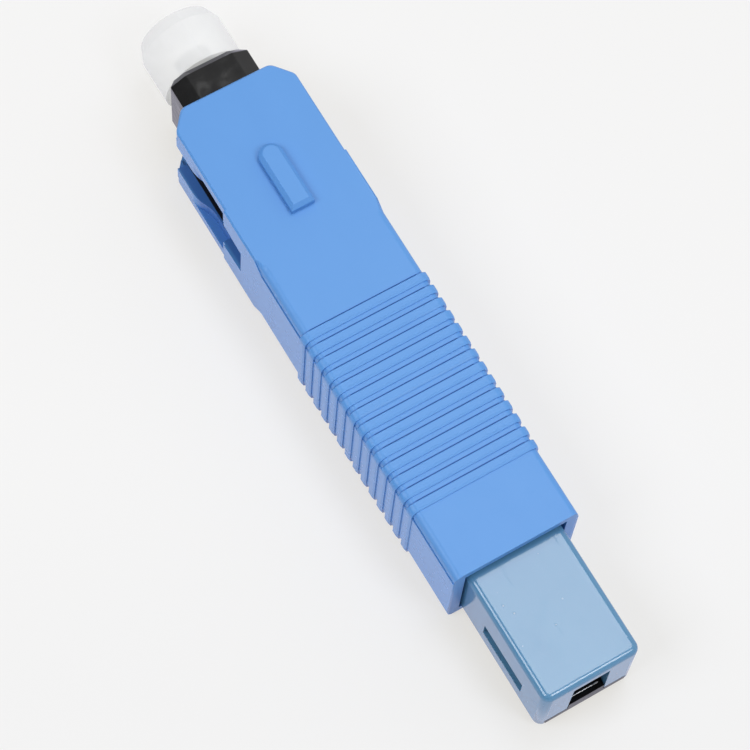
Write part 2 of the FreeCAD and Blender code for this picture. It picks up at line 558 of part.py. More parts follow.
# ------------------------------------------------------------------------------------ coupling sleeve
def make_coupling_sleeve():
    part = new_part("coupling_sleeve")
    plan = outline(draw(part, "XY_Plane"),
                   ("0", "-(front_y - corner_in)"), ("corner_back", "-front_y"),
                   ("sleeve_length", "-front_y"), ("sleeve_length", "front_y"),
                   ("corner_back", "front_y"), ("0", "front_y - corner_in"))
    pad(part, plan, "2 * sleeve_z", SideType="Symmetric")
    corner = number("corner_back + root")
    dressed(part, "Fillet", "corner_round",
            lambda ends: len(ends) == 2 and near(ends[0].x, ends[1].x) and near(ends[0].y, ends[1].y)
            and ends[0].x < corner)
    top, inner = number("sleeve_z"), number("cavity_y")

    def long_edge(ends):
        flat = len(ends) == 2 and near(abs(ends[0].z), top) and near(abs(ends[1].z), top)
        return flat and near(ends[0].y, ends[1].y) and abs(ends[0].y) > inner

    dressed(part, "Chamfer", "front_edge", long_edge)
    for near_side, far_side in (("-sleeve_y", "-cavity_y"), ("cavity_y", "sleeve_y")):
        wall = rectangle(draw(part, "XY_Plane"), "wall_start", "sleeve_length", near_side, far_side)
        pad(part, wall, "2 * sleeve_z", SideType="Symmetric")
    outer = number("sleeve_y")
    dressed(part, "Chamfer", "front_edge",
            lambda ends: len(ends) == 2 and all(near(abs(end.y), outer) for end in ends)
            and near(ends[0].y, ends[1].y) and near(abs(ends[0].z + ends[1].z), 2 * top))

    # behind the step each long edge is rounded, a little way in from the side wall
    for side in ("", "-"):
        for level in ("", "-"):
            sections = []
            for place, radius, drop in (("step_start", "edge_lead", "edge_lead_drop"),
                                        ("step_start + step_slant", "edge_radius", "edge_drop"),
                                        ("sleeve_length + beyond", "edge_radius", "edge_drop")):
                sections.append(edge_cut(draw(part, "YZ_Plane", place), side, level, radius, drop))
            cut = feature(part, "SubtractiveLoft", sections[0])
            cut.Sections = [(section, [""]) for section in sections[1:]]
            cut.Ruled = True

    # grip ribs all round
    crest = soft_corners("rib_y", "rib_z", "rib_round")
    rib = outline(draw(part, "YZ_Plane", "rib_start"), *crest)
    row(part, pad(part, rib, "rib_width"), "X_Axis", "rib_pitch", "rib_count")
    spots = [Vector(0, number(across), number(up)) for across, up in crest]
    dressed(part, "Chamfer", "rib_bevel",
            lambda ends: near(ends[0].x, ends[1].x)
            and all(any(near(end.y, spot.y) and near(end.z, spot.z) for spot in spots) for end in ends))

    # bore, side windows and the pockets that the frame's lugs travel in
    bore = rectangle(draw(part, "YZ_Plane"), "-cavity_y", "cavity_y", "-cavity_z", "cavity_z")
    pocket(part, bore, "sleeve_length", Reversed=True)
    window = outline(draw(part, "XZ_Plane"),
                     ("-beyond", "-window_height / 2"), ("window_length", "-window_height / 2"),
                     ("window_length", "-slot_height / 2"),
                     ("slot_end", "-(slot_height / 2 - slot_narrowing)"),
                     ("slot_end", "slot_height / 2 - slot_narrowing"), ("window_length", "slot_height / 2"),
                     ("window_length", "window_height / 2"), ("-beyond", "window_height / 2"))
    pocket(part, window, "2 * (sleeve_y + beyond)", SideType="Symmetric")
    lug_room = rectangle(draw(part, "XY_Plane"), "lug_start - sleeve_travel - slide_gap",
                         "lug_end + slide_gap", "-(lug_width / 2 + slide_gap)", "lug_width / 2 + slide_gap")
    pocket(part, lug_room, "frame_height + 2 * (lug_height + slide_gap)", SideType="Symmetric")

    # release cams: ledges beside the open windows, whose outer edge leads inwards in an S
    cams = draw(part, "XY_Plane", "cam_top")
    for side in (1, -1):
        cam_outline(cams, side)
    mirrored(part, pad(part, cams, "window_height / 2 - cam_top + root"), "XY_Plane")

    # polarity key
    key = draw(part, "XY_Plane", "sleeve_z - root")
    key_outline(key)
    pad(part, key, "key_height + root")
    key_top = number("sleeve_z + key_height")
    dressed(part, "Chamfer", "key_bevel",
            lambda ends: all(near(end.z, key_top) for end in ends))


# ----------------------------------------------------------------------------------------- plug frame
def make_plug_frame():
    part = new_part("plug_frame")
    nose = outline(draw(part, "YZ_Plane", "nose_front"), *octagon("nose_width / 2", "frame_height / 2",
                                                                 "nose_chamfer", "nose_drop"))
    pad(part, nose, "nose_reach + frame_end")
    front = number("nose_front")
    dressed(part, "Chamfer", "nose_bevel", lambda ends: all(near(end.x, front) for end in ends))
    shoulders = outline(draw(part, "YZ_Plane", "shoulder_start"),
                        *octagon("body_width / 2", "frame_height / 2", "shoulder_chamfer",
                                 "shoulder_chamfer"))
    pad(part, shoulders, "shoulder_length")
    lugs = rectangle(draw(part, "XY_Plane"), "lug_start", "lug_end", "-lug_width / 2", "lug_width / 2")
    pad(part, lugs, "frame_height + 2 * lug_height", SideType="Symmetric")
    catches = draw(part, "XY_Plane")
    for sign in ("", "-"):
        outline(catches, ("catch_start", f"{sign}(nose_width / 2 - root)"),
                ("catch_start", f"{sign}(nose_width / 2 + catch_lead)"),
                ("catch_start + catch_ramp", f"{sign}(nose_width / 2 + catch_reach)"),
                ("catch_start + catch_length", f"{sign}(nose_width / 2 + catch_reach)"),
                ("catch_start + catch_length", f"{sign}(nose_width / 2 - root)"))
    pad(part, catches, "catch_height", SideType="Symmetric")

    # ring recess, guiding wall, spring chamber and the stop ring's seat, turned in one cut
    bore = outline(draw(part, "XZ_Plane"),
                   ("nose_front - beyond", "0"), ("nose_front - beyond", "recess_r"),
                   ("web_front", "recess_r"),
                   ("web_front", "ferrule_r + guide_gap"), ("web_back", "ferrule_r + guide_gap"),
                   ("web_back", "chamber_r"), ("ring_front", "chamber_r"), ("ring_front", "seat_r"),
                   ("frame_end + beyond", "seat_r"), ("frame_end + beyond", "0"))
    spun(part, "Groove", bore)

    # grooves for the rear housing's snap arms, each with a pocket for its hook
    grooves = draw(part, "XY_Plane")
    pockets = draw(part, "XY_Plane")
    for sign in ("", "-"):
        rectangle(grooves, "arm_front - fit_gap", "frame_end + beyond",
                  f"{sign}(arm_in - fit_gap)", f"{sign}(body_width / 2 + beyond)")
        rectangle(pockets, "hook_start - fit_gap", "hook_start + hook_length + fit_gap",
                  f"{sign}(arm_in - hook_depth - fit_gap)", f"{sign}(body_width / 2 + beyond)")
    pocket(part, grooves, "arm_height + 2 * fit_gap", SideType="Symmetric")
    pocket(part, pockets, "arm_height + 2 * fit_gap", SideType="Symmetric")


def octagon(half_width, half_height, cut, drop):
    """The corners of a rectangle about the axis, each cut off by cut across and by drop in height."""
    return [(f"{y}({half_width} - {cut})" if flat else f"{y}({half_width})",
             f"{z}({half_height})" if flat else f"{z}({half_height} - {drop})")
            for y, z, flat in (("-", "-", True), ("", "-", True), ("", "-", False), ("", "", False),
                               ("", "", True), ("-", "", True), ("-", "", False), ("-", "-", False))]


# ------------------------------------------------------------------------- ferrule, spring, stop ring
def make_ferrule():
    part = new_part("ferrule")
    bore = "fibre_diameter / 2 + bond_gap"
    section = outline(draw(part, "XZ_Plane"),
                      ("tip", bore), ("tip", "ferrule_r - ferrule_nip"),
                      ("tip + ferrule_chamfer", "ferrule_r"),
                      ("tip + ferrule_length", "ferrule_r"), ("tip + ferrule_length", "ferrule_cone"),
                      ("tip + ferrule_length - 2 * ferrule_cone", bore))
    spun(part, "Revolution", section)


def make_ferrule_collar():
    part = new_part("ferrule_collar")
    bore = "ferrule_r + bond_gap"
    section = outline(draw(part, "XZ_Plane"),
                      ("collar_front", bore), ("collar_front", "flange_r - flange_bevel"),
                      ("collar_front + flange_bevel", "flange_r"), ("flange_back", "flange_r"),
                      ("flange_back", "hub_r"), ("hub_end", "hub_r"), ("hub_end", bore))
    spun(part, "Revolution", section)
    deep, past = "flange_r - notch_depth", "flange_r + beyond"
    half = "flange_notch / 2"
    upright = draw(part, "YZ_Plane", "collar_front - beyond")
    level = draw(part, "YZ_Plane", "collar_front - beyond")
    for sign in ("", "-"):
        rectangle(upright, f"-{half}", half, f"{sign}({deep})", f"{sign}({past})")
        rectangle(level, f"{sign}({deep})", f"{sign}({past})", f"-{half}", half)
    for notches in (upright, level):
        pocket(part, notches, "flange_thickness + 2 * beyond", Reversed=True)


def make_fibre_stub():
    part = new_part("fibre_stub")
    core = circle(draw(part, "YZ_Plane", "tip"), "fibre_diameter / 2")
    pad(part, core, "splice_front + splice_length / 2 - tip")


def make_float_spring():
    """The wire has six flat sides, which stand in for its round section."""
    part = new_part("float_spring")
    start = "flange_back + wire_diameter / 2 + sheet_gap"
    wire = draw(part, "XZ_Plane")
    outline(wire, *[(f"{start} + {math.cos(turn):.6f} * wire_diameter / 2",
                     f"coil_r + {math.sin(turn):.6f} * wire_diameter / 2")
                    for turn in (math.pi * side / 3 for side in range(6))])
    coil = feature(part, "AdditiveHelix", wire, Turns="spring_turns",
                   Pitch="(ring_front - flange_back - wire_diameter - 2 * sheet_gap) / spring_turns")
    coil.ReferenceAxis = (wire, ["H_Axis"])
    coil.Mode = "pitch-turns-angle"


def make_stop_ring():
    part = new_part("stop_ring")
    bore = "stem_r + guide_gap"
    section = outline(draw(part, "XZ_Plane"),
                      ("ring_front", bore), ("ring_front", "ring_r - ring_lead"),
                      ("ring_front + ring_lead", "ring_r"),
                      ("waist_start", "ring_r"), ("waist_start", "ring_r - waist_depth"),
                      ("waist_start + waist_length", "ring_r - waist_depth"),
                      ("waist_start + waist_length", "ring_r"),
                      ("frame_end", "ring_r"), ("frame_end", bore))
    spun(part, "Revolution", section)


# ------------------------------------------------------------------------------------------- dust cap
def make_dust_cap():
    part = new_part("dust_cap")
    bore = "ferrule_r + cap_grip"
    section = outline(draw(part, "XZ_Plane"),
                      ("cap_front", "0"), ("cap_front", "cap_diameter / 2 - cap_round"),
                      ("cap_front + 0.3 * cap_round", "cap_diameter / 2 - 0.3 * cap_round"),
                      ("cap_front + cap_round", "cap_diameter / 2"), ("cap_seat", "cap_diameter / 2"),
                      ("cap_seat", "cap_tube / 2"), ("nose_front + cap_plunge", "cap_tube / 2"),
                      ("nose_front + cap_plunge", bore), ("tip - cap_room", bore), ("tip - cap_room", "0"))
    spun(part, "Revolution", section)


# --------------------------------------------------------------------------------------------- splice
def make_splice_holder():
    part = new_part("splice_holder")
    section = outline(draw(part, "XZ_Plane"),
                      ("flange_back + fit_gap", "hub_r + bond_gap"), ("flange_back + fit_gap", "stem_r"),
                      ("block_front + root", "stem_r"), ("block_front + root", "stem_bore / 2"),
                      ("hub_end + fit_gap", "stem_bore / 2"), ("hub_end + fit_gap", "hub_r + bond_gap"))
    spun(part, "Revolution", section)
    block = rectangle(draw(part, "YZ_Plane", "block_front"),
                      "-block_y", "block_y", "block_bottom", "lid_bottom + holder_rise")
    pad(part, block, "block_end - block_front")
    passage = circle(draw(part, "YZ_Plane", "block_front - beyond"), "stem_bore / 2")
    pocket(part, passage, "2 * beyond", Reversed=True)
    bed = rectangle(draw(part, "YZ_Plane", "block_front + holder_end"), "-bed_y", "bed_y", "bed_bottom",
                    "lid_top")
    pocket(part, bed, "block_end", Reversed=True)


def make_v_groove_base():
    part = new_part("v_groove_base")
    block = outline(draw(part, "YZ_Plane", "splice_front"),
                    ("-lid_y", "-base_height"), ("lid_y", "-base_height"), ("lid_y", "0"),
                    ("fibre_seat", "0"), ("0", "-fibre_seat"), ("-fibre_seat", "0"), ("-lid_y", "0"))
    pad(part, block, "splice_length")
    coating = outline(draw(part, "YZ_Plane", "splice_front + coating_share * splice_length"),
                      ("-coating_seat", "root"), ("-coating_seat", "0"), ("0", "-coating_seat"),
                      ("coating_seat", "0"), ("coating_seat", "root"))
    pocket(part, coating, "splice_length", Reversed=True)


def make_lid(label, start, end):
    """One of the three lids that press the fibre into the groove."""
    part = new_part(label)
    plate = outline(draw(part, "YZ_Plane", start),
                    ("-lid_y", "lid_bottom"), ("lid_y", "lid_bottom"), ("lid_y", "lid_top - lid_bevel"),
                    ("lid_y - lid_bevel", "lid_top"), ("-(lid_y - lid_bevel)", "lid_top"),
                    ("-lid_y", "lid_top - lid_bevel"))
    pad(part, plate, f"{end} - ({start})")


def make_clamp_spring():
    part = new_part("clamp_spring")
    hook = "clamp_y - clamp_hook"
    profile = outline(draw(part, "YZ_Plane", "splice_front + root"),
                      ("-clamp_y - sheet", "clamp_bottom"), (f"-({hook})", "clamp_bottom"),
                      (f"-({hook})", "clamp_bottom + sheet"), ("-clamp_y", "clamp_bottom + sheet"),
                      ("-clamp_y", "clamp_roof"), ("clamp_y", "clamp_roof"),
                      ("clamp_y", "clamp_bottom + sheet"), (hook, "clamp_bottom + sheet"),
                      (hook, "clamp_bottom"), ("clamp_y + sheet", "clamp_bottom"),
                      ("clamp_y + sheet", "clamp_top"), ("-clamp_y - sheet", "clamp_top"))
    pad(part, profile, "splice_length - 2 * root")
    slits = draw(part, "XY_Plane", "clamp_bottom + 2 * sheet")
    for share in ("splice_share", "coating_share"):
        middle = f"splice_front + {share} * splice_length"
        rectangle(slits, f"{middle} - clamp_slit / 2", f"{middle} + clamp_slit / 2",
                  "-(clamp_y - slit_rest)", "clamp_y + beyond")
    pocket(part, slits, "clamp_top - clamp_bottom", Reversed=True)


# ------------------------------------------------------------------------- rear housing, lock slider
def make_rear_housing():
    part = new_part("rear_housing")
    box = outline(draw(part, "YZ_Plane", "frame_end"),
                  *octagon("arm_out", "housing_z", "shoulder_chamfer", "shoulder_chamfer"))
    pad(part, box, "housing_end - frame_end")
    arms = draw(part, "XY_Plane")
    for sign in ("", "-"):
        outline(arms, ("frame_end + arm_root", f"{sign}(arm_out)"), ("arm_front", f"{sign}(arm_out)"),
                ("arm_front", f"{sign}(arm_in)"), ("hook_start", f"{sign}(arm_in)"),
                ("hook_start + hook_ramp", f"{sign}(arm_in - hook_depth)"),
                ("hook_start + hook_length", f"{sign}(arm_in - hook_depth)"),
                ("hook_start + hook_length", f"{sign}(arm_in)"), ("frame_end + arm_root", f"{sign}(arm_in)"))
    pad(part, arms, "arm_height", SideType="Symmetric")
    track = outline(draw(part, "YZ_Plane", "channel_front"),
                    ("-track_y", "track_floor"), ("track_y", "track_floor"), ("track_y", "track_roof"),
                    ("pad_slot / 2", "track_roof"), ("pad_slot / 2", "housing_z + beyond"),
                    ("-pad_slot / 2", "housing_z + beyond"), ("-pad_slot / 2", "track_roof"),
                    ("-track_y", "track_roof"))
    pocket(part, track, "housing_end", Reversed=True)
    channel = rectangle(draw(part, "YZ_Plane", "channel_front"),
                        "-channel_y", "channel_y", "channel_floor", "track_floor + root")
    pocket(part, channel, "channel_length", Reversed=True)
    stem_hole = circle(draw(part, "YZ_Plane", "frame_end - beyond"), "stem_r + guide_gap")
    pocket(part, stem_hole, "end_wall + 2 * beyond", Reversed=True)
    funnel_hole = circle(draw(part, "YZ_Plane", "channel_back - beyond"), "funnel_r + seat_gap")
    pocket(part, funnel_hole, "rear_wall + 2 * beyond", Reversed=True)
    views = rectangle(draw(part, "XZ_Plane"), "channel_front + view_inset", "channel_back - view_inset",
                      "-view_height / 2", "view_height / 2")
    pocket(part, views, "body_width + 2 * beyond", SideType="Symmetric")
    sockets = draw(part, "YZ_Plane", "housing_end - prong_length - fit_gap")
    for sign in ("", "-"):
        rectangle(sockets, f"{sign}(prong_spacing / 2 - prong_width / 2 - fit_gap)",
                  f"{sign}(prong_spacing / 2 + prong_width / 2 + fit_gap)",
                  "-(prong_level + prong_height / 2 + fit_gap)",
                  "-(prong_level - prong_height / 2 - fit_gap)")
    pocket(part, sockets, "prong_length + beyond", Reversed=True)


def make_lock_slider():
    part = new_part("lock_slider")
    plate = outline(draw(part, "YZ_Plane", "slider_front"),
                    ("-tongue_y", "tongue_bottom"), ("tongue_y", "tongue_bottom"), ("tongue_y", "tongue_top"),
                    ("slider_width / 2", "tongue_top"), ("slider_width / 2", "pad_top"),
                    ("-slider_width / 2", "pad_top"), ("-slider_width / 2", "tongue_top"),
                    ("-tongue_y", "tongue_top"))
    pad(part, plate, "slider_length")
    press = rectangle(draw(part, "YZ_Plane", "slider_front + press_start"), "-press_width / 2",
                      "press_width / 2", "clamp_top + press_gap", "tongue_bottom + root")
    pad(part, press, "slider_length - press_start")
    ridge = outline(draw(part, "XZ_Plane"), ("ridge_start", "pad_top - root"),
                    ("ridge_start + ridge_width", "pad_top - root"),
                    ("ridge_start + ridge_width - root", "housing_z"), ("ridge_start + root", "housing_z"))
    row(part, pad(part, ridge, "ridge_length", SideType="Symmetric"), "X_Axis", "grip_pitch", "ridge_count")


def make_entry_funnel():
    part = new_part("entry_funnel")
    section = outline(draw(part, "XZ_Plane"),
                      ("channel_back", "funnel_bore / 2"), ("channel_back", "funnel_r - funnel_bevel"),
                      ("channel_back + funnel_bevel", "funnel_r"), ("housing_end", "funnel_r"),
                      ("housing_end", "funnel_mouth / 2"), ("housing_end - funnel_depth", "funnel_bore / 2"))
    spun(part, "Revolution", section)


# ----------------------------------------------------------------------------------------------- tail
def make_cable_holder():
    part = new_part("cable_holder")
    plate = rectangle(draw(part, "XY_Plane", "tail_floor"), "holder_front", "tail_end", "-plate_y", "plate_y")
    pad(part, plate, "holder_plate")
    head = rectangle(draw(part, "YZ_Plane", "holder_front"), "-(cover_in - fit_gap)", "cover_in - fit_gap",
                     "tail_floor", "cover_height - cover_wall - fit_gap")
    pad(part, head, "holder_head")
    bed = rectangle(draw(part, "YZ_Plane", "holder_front"), "-(grip_out + fit_gap)", "grip_out + fit_gap",
                    "tail_floor", "bed_top")
    pad(part, bed, "tail_end - holder_front")
    cheeks = draw(part, "YZ_Plane", "holder_front")
    for sign in ("", "-"):
        rectangle(cheeks, f"{sign}(cheek_in)", f"{sign}(cheek_out)", "tail_floor", "cable_roof - cheek_drop")
    pad(part, cheeks, "inner_end - fit_gap - holder_front")
    entry = rectangle(draw(part, "YZ_Plane", "holder_front - beyond"), "-grip_in", "grip_in", "grip_floor",
                      "cable_roof")
    pocket(part, entry, "holder_head + 2 * beyond", Reversed=True)

    # spring wings with the ribs that snap into the cover
    wings = draw(part, "XY_Plane", "tail_floor")
    ribs = draw(part, "XY_Plane", "-(latch_level + latch_height - fit_gap)")
    for sign in ("", "-"):
        rectangle(wings, "latch_start - wing_margin", "latch_end + wing_margin",
                  f"{sign}(wing_in)", f"{sign}(plate_y)")
        outline(ribs, ("latch_start + fit_gap", f"{sign}(plate_y - root)"),
                ("latch_start + latch_reach", f"{sign}(plate_y + latch_reach)"),
                ("latch_end - latch_reach", f"{sign}(plate_y + latch_reach)"),
                ("latch_end - fit_gap", f"{sign}(plate_y - root)"))
    pad(part, wings, "-tail_floor - latch_level + wing_rise")
    pad(part, ribs, "latch_height - 2 * fit_gap")

    # prongs that key the holder into the rear housing
    prongs = draw(part, "YZ_Plane", "housing_end - prong_length")
    for sign in ("", "-"):
        rectangle(prongs, f"{sign}(prong_spacing / 2 - prong_width / 2)",
                  f"{sign}(prong_spacing / 2 + prong_width / 2)",
                  "-(prong_level + prong_height / 2)", "-(prong_level - prong_height / 2)")
    pad(part, prongs, "prong_length + fit_gap + root")


def make_grip_channel():
    """A folded steel channel whose teeth bite the sides of the drop cable."""
    part = new_part("grip_channel")
    floor = "grip_floor - grip_sheet"
    profile = outline(draw(part, "YZ_Plane", "grip_front"),
                      ("-grip_out", floor), ("grip_out", floor), ("grip_out", "cable_roof - grip_drop"),
                      ("grip_in", "cable_roof - grip_drop"), ("grip_in", "grip_floor"),
                      ("-grip_in", "grip_floor"),
                      ("-grip_in", "cable_roof - grip_drop"), ("-grip_out", "cable_roof - grip_drop"))
    pad(part, profile, "grip_end - grip_front")
    teeth = draw(part, "XY_Plane", "grip_floor + tooth_inset")
    for sign in ("", "-"):
        outline(teeth, ("grip_front + tooth_start", f"{sign}(grip_in + fit_gap)"),
                ("grip_front + tooth_start + tooth_rake", f"{sign}(grip_in - tooth_depth)"),
                ("grip_front + tooth_start + tooth_rake + root", f"{sign}(grip_in + fit_gap)"))
    first = pad(part, teeth, "cable_height - grip_drop - 2 * tooth_inset")
    row(part, first, "X_Axis", "tooth_pitch", "tooth_count")


def make_tail_cover():
    part = new_part("tail_cover")
    top, side, rear = number("cover_height"), number("cover_y"), number("tail_end")
    plan = rectangle(draw(part, "XY_Plane", "tail_floor"), "cover_front", "tail_end", "-cover_y", "cover_y")
    pad(part, plan, "cover_height - tail_floor")
    dressed(part, "Fillet", "cover_corner",
            lambda ends: len(ends) == 2 and all(near(end.x, rear) for end in ends)
            and near(abs(ends[0].y + ends[1].y), 2 * side))
    front = number("cover_front")
    dressed(part, "Fillet", "cover_round",
            lambda ends: len(ends) == 2 and all(near(end.z, top) for end in ends)
            and not all(near(end.x, front) for end in ends))
    room = rectangle(draw(part, "XY_Plane", "tail_floor - beyond"), "cover_front - beyond", "inner_end",
                     "-cover_in", "cover_in")
    pocket(part, room, "cover_height - cover_wall - tail_floor + beyond", Reversed=True)
    inlet = outline(draw(part, "YZ_Plane", "inner_end - beyond"),
                    ("-cover_in", "tail_floor - beyond"), ("cover_in", "tail_floor - beyond"),
                    ("cover_in", "plate_top + fit_gap"), ("grip_out + 2 * fit_gap", "plate_top + fit_gap"),
                    ("grip_out + fit_gap", "cable_roof"), ("-(grip_out + fit_gap)", "cable_roof"),
                    ("-(grip_out + 2 * fit_gap)", "plate_top + fit_gap"),
                    ("-cover_in", "plate_top + fit_gap"))
    pocket(part, inlet, "cover_wall + 2 * beyond", Reversed=True)
    slots = rectangle(draw(part, "XZ_Plane"), "latch_start", "latch_end",
                      "-(latch_level + latch_height)", "-latch_level")
    pocket(part, slots, "2 * (cover_y + beyond)", SideType="Symmetric")


make_coupling_sleeve()
make_plug_frame()
make_dust_cap()
make_ferrule()
make_ferrule_collar()
make_fibre_stub()
make_float_spring()
make_stop_ring()
make_splice_holder()
make_v_groove_base()
LID_ENDS = ("0", "splice_share", "coating_share", "1")
for label, start, end in zip(("stub_lid", "splice_lid", "coating_lid"), LID_ENDS, LID_ENDS[1:]):
    make_lid(label, f"splice_front + {start} * splice_length + lid_gap / 2",
             f"splice_front + {end} * splice_length - lid_gap / 2")
make_clamp_spring()
make_rear_housing()
make_lock_slider()
make_entry_funnel()
make_cable_holder()
make_grip_channel()
make_tail_cover()
doc.recompute()


# -------------------------------------------------------------------------------- checks, then output
def fault_of(item):
    """What is wrong with a document object, or nothing."""
    if "Invalid" in item.State or "Error" in item.State:
        return "failed to compute"
    if item.TypeId in ("PartDesign::Pocket", "PartDesign::Groove"):
        if item.Shape.Volume > item.BaseFeature.Shape.Volume - 1e-6:
            return "cuts nothing"
    return None


faults = [f"{item.Name}: {fault_of(item)}" for item in doc.Objects if fault_of(item)]
for part in PARTS:
    shape = part.Shape
    if shape.isNull() or not shape.isValid() or len(shape.Solids) != 1:
        faults.append(f"{part.Label}: no single sound solid")
if faults:
    raise RuntimeError("; ".join(faults))

os.makedirs("parts", exist_ok=True)
for part in PARTS:
    part.Shape.exportStep(f"parts/{part.Label}.step")
    print(f"{part.Label}: {part.Shape.Volume:.2f} mm3, {len(part.Shape.Faces)} faces")
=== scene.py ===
import bpy
import bmesh
import json
import math
from mathutils import Matrix, Vector


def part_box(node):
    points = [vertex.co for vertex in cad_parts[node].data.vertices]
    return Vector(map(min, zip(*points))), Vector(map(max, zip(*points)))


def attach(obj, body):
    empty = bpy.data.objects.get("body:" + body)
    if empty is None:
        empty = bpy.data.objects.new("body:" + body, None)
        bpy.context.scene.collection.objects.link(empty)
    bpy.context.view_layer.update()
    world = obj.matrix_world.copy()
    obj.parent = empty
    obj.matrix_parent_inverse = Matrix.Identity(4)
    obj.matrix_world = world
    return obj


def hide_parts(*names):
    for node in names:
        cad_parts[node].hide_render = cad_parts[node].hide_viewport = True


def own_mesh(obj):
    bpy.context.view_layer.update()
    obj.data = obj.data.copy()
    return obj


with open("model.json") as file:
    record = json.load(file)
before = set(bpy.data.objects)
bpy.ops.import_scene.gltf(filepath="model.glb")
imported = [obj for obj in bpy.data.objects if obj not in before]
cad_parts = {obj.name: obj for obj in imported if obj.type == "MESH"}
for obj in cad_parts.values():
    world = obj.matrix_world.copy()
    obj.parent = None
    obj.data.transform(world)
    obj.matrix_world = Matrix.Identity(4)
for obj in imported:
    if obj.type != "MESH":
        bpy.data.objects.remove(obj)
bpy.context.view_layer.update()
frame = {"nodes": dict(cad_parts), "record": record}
MM = 0.001

# the sleeve's front face and the optical axis, in millimetres
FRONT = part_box("coupling_sleeve")[0].x / MM
AXIS = (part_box("ferrule")[0].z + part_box("ferrule")[1].z) / 2 / MM

# the sleeve and its grip ribs, in millimetres
SLEEVE_HALF_HEIGHT, SLEEVE_HALF_WIDTH = 3.7, 4.58
RIB_COUNT, FIRST_FOOT = 14, 17.82
RIB_PITCH, RIB_WIDTH, RIB_SLOPE = 1.015, 0.5, 0.13
RIB_FEET = [FRONT + FIRST_FOOT + RIB_PITCH * place for place in range(RIB_COUNT)]
SAME_PLACE = 0.01

# what is rounded how much: edges this near the middle are the key's, those in the zone the ribs' and steps'
KEY_REACH = 1.2
GRIP_ZONE = (FRONT + 11.8, FRONT + 32.5)
KEY_SOFTNESS, GRIP_SOFTNESS, BODY_SOFTNESS = 1.0, 0.0, 0.24

# the grooves at the ribs' feet, and the creases along the sides in front of the ribs and behind them
FOOT_WIDTH, FOOT_DEPTH = 0.07, 0.08
TOP_REACH, SIDE_REACH = 3.95, 2.8
STEP_DEPTH, CREASE_DEPTH = 0.08, 0.05
CREASE_LEVEL = (2.85, 2.92)
CREASE_RUNS = ((FRONT + 12.8, RIB_FEET[0] - 0.12), (RIB_FEET[-1] + 0.6, FRONT + 36.45))
CLEAR_TOP, CLEAR_SIDE = 4.5, 5.5

# where the sleeve's painted shade and gloss change, each a span in millimetres over which they fade: the
# spans at the ledges and windows bound the painted shade in those recesses, the outer side span the gloss,
# the foot zone the ribs'
LEDGE_SIDE, LEDGE_LEVEL, LEDGE_END = (3.72, 3.80), (2.0, 2.1), (FRONT + 7.4, FRONT + 7.6)
WINDOW_SIDE, WINDOW_LEVEL, WINDOW_END = (4.3, 4.46), (2.75, 2.85), (FRONT + 12, FRONT + 13)
OUTER_SIDE = (4.36, 4.48)
FOOT_ZONE = (RIB_FEET[0] - 0.2, RIB_FEET[-1] + 0.1)

# painted shade: the last part of each rib pitch, in the groove at the next rib's foot, is painted darker:
# where that starts, as a share of the pitch, and how strong it is
PAINTED_FOOT_BAND, PAINTED_FOOT_SHADE = (0.90, 0.93), 0.6

# how far apart points of the CAD mesh are welded, in millimetres, and the turn that still counts as flat
WELD, FLAT = 2e-4, math.radians(0.6)


# ---------------------------------------------------------------- shader building blocks
class Graph:
    """A material's node tree, built with few words."""

    def __init__(self, name):
        self.material = bpy.data.materials.new(name)
        self.material.use_nodes = True
        self.tree = self.material.node_tree
        self.tree.nodes.clear()
        self.out = self.tree.nodes.new("ShaderNodeOutputMaterial")
        self.coords = self.tree.nodes.new("ShaderNodeTexCoord").outputs["Object"]

    def add(self, kind, inputs=(), **settings):
        node = self.tree.nodes.new(kind)
        for key, value in settings.items():
            setattr(node, key, value)
        for key, value in dict(inputs).items():
            self.put(node.inputs[key], value)
        return node

    def put(self, socket, value):
        if isinstance(value, bpy.types.NodeSocket):
            self.tree.links.new(value, socket)
        else:
            socket.default_value = value

    def noise(self, scale, detail=3.0, rough=0.5, coords=None):
        return self.add("ShaderNodeTexNoise", {"Vector": coords or self.coords, "Scale": scale,
                                               "Detail": detail, "Roughness": rough}).outputs["Fac"]

    def stretched(self, x, y, z):
        return self.add("ShaderNodeMapping", {"Vector": self.coords, "Scale": (x, y, z)}).outputs["Vector"]

    def remap(self, value, low, high, to_low, to_high, smooth=False):
        kind = "SMOOTHSTEP" if smooth else "LINEAR"
        return self.add("ShaderNodeMapRange", {"Value": value, "From Min": low, "From Max": high,
                                               "To Min": to_low, "To Max": to_high},
                        interpolation_type=kind).outputs["Result"]

    def math(self, operation, first, second=0.0):
        return self.add("ShaderNodeMath", {0: first, 1: second}, operation=operation).outputs[0]

    def fade(self, value, span, full=1.0, smooth=False):
        """From full at the span's near end to nothing at its far end. The span is in millimetres."""
        return self.remap(value, span[0] * MM, span[1] * MM, full, 0.0, smooth)

    def product(self, *factors):
        result = factors[0]
        for factor in factors[1:]:
            result = self.math("MULTIPLY", result, factor)
        return result

    def blend(self, factor, first, second):
        node = self.add("ShaderNodeMix", {"Factor": factor}, data_type="RGBA")
        colours = [socket for socket in node.inputs if socket.type == "RGBA"]
        self.put(colours[0], first)
        self.put(colours[1], second)
        return next(socket for socket in node.outputs if socket.type == "RGBA")

    def bump(self, height, strength, distance, below=None):
        inputs = {"Height": height, "Strength": strength, "Distance": distance}
        if below is not None:
            inputs["Normal"] = below
        return self.add("ShaderNodeBump", inputs).outputs["Normal"]

    def join(self, kind, first, second, inputs=()):
        """Two shaders through one node. The shader sockets are the node's last two."""
        node = self.add(kind, inputs)
        self.tree.links.new(first, node.inputs[-2])
        self.tree.links.new(second, node.inputs[-1])
        return node.outputs[0]

    def finish(self, **sockets):
        shader = self.add("ShaderNodeBsdfPrincipled")
        for name, value in sockets.items():
            self.put(shader.inputs[name.replace("_", " ")], value)
        self.tree.links.new(shader.outputs[0], self.out.inputs["Surface"])
        return self.material


